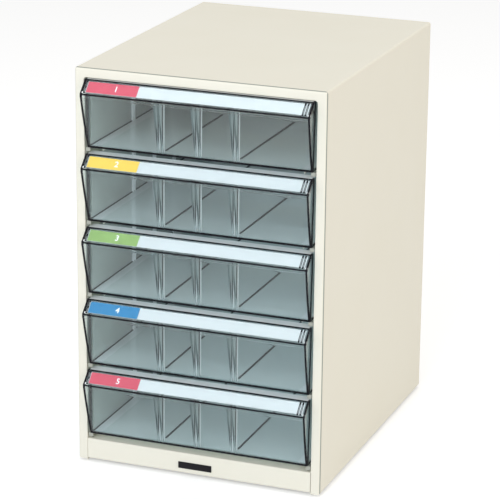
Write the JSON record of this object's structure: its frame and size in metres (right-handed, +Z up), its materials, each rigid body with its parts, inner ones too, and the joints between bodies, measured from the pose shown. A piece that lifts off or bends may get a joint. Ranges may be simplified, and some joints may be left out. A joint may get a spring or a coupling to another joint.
{
  "type": "desktop drawer unit",
  "caption": "Desktop letter case: painted sheet-steel case with deep clear smoke-tinted drawers, each with a ridge pull and a title card under a clear cover.",
  "frame": {"origin": "bottom centre of the whole unit's box, on the plane that the feet stand on", "axes": "+Z up, drawer fronts face -Y, +X to the right seen from the front"},
  "size_m": [0.28, 0.3754, 0.443],
  "materials": {
    "case_paint": "ivory powder coat, satin",
    "runner_paint": "ivory powder coat, satin",
    "screw_steel": "zinc plated",
    "foot_rubber": "matte",
    "black_plate": "satin black",
    "smoke_styrene": "clear smoke tint, polished",
    "clear_cover": "clear, polished",
    "card_stock": "smooth white card",
    "tab_red": "printed paper",
    "tab_yellow": "printed paper",
    "tab_green": "printed paper",
    "tab_blue": "printed paper"
  },
  "bodies": {
    "case": {"case_shell": "case_paint", "back_panel": "case_paint", "base_pan": "case_paint", "name_plate": "black_plate", "back_screws": "screw_steel", "base_screws": "screw_steel", "foot_front_left": "foot_rubber", "foot_front_right": "foot_rubber", "foot_rear_left": "foot_rubber", "foot_rear_right": "foot_rubber", "runner_left_1": "runner_paint", "runner_right_1": "runner_paint", "runner_left_2": "runner_paint", "runner_right_2": "runner_paint", "runner_left_3": "runner_paint", "runner_right_3": "runner_paint", "runner_left_4": "runner_paint", "runner_right_4": "runner_paint", "runner_left_5": "runner_paint", "runner_right_5": "runner_paint"},
    "drawer_1": {"drawer_tray_1": "smoke_styrene", "label_cover_1": "clear_cover", "title_card_1": "card_stock", "index_tab_1": "tab_red"},
    "drawer_2": {"drawer_tray_2": "smoke_styrene", "label_cover_2": "clear_cover", "title_card_2": "card_stock", "index_tab_2": "tab_yellow"},
    "drawer_3": {"drawer_tray_3": "smoke_styrene", "label_cover_3": "clear_cover", "title_card_3": "card_stock", "index_tab_3": "tab_green"},
    "drawer_4": {"drawer_tray_4": "smoke_styrene", "label_cover_4": "clear_cover", "title_card_4": "card_stock", "index_tab_4": "tab_blue"},
    "drawer_5": {"drawer_tray_5": "smoke_styrene", "label_cover_5": "clear_cover", "title_card_5": "card_stock", "index_tab_5": "tab_red"}
  },
  "joints": [
    {"name": "drawer_1_slide", "type": "slide", "parent": "case", "child": "drawer_1", "axis": [0, -1, 0], "range_m": [0, 0.25]},
    {"name": "drawer_2_slide", "type": "slide", "parent": "case", "child": "drawer_2", "axis": [0, -1, 0], "range_m": [0, 0.25]},
    {"name": "drawer_3_slide", "type": "slide", "parent": "case", "child": "drawer_3", "axis": [0, -1, 0], "range_m": [0, 0.25]},
    {"name": "drawer_4_slide", "type": "slide", "parent": "case", "child": "drawer_4", "axis": [0, -1, 0], "range_m": [0, 0.25]},
    {"name": "drawer_5_slide", "type": "slide", "parent": "case", "child": "drawer_5", "axis": [0, -1, 0], "range_m": [0, 0.25]}
  ]
}
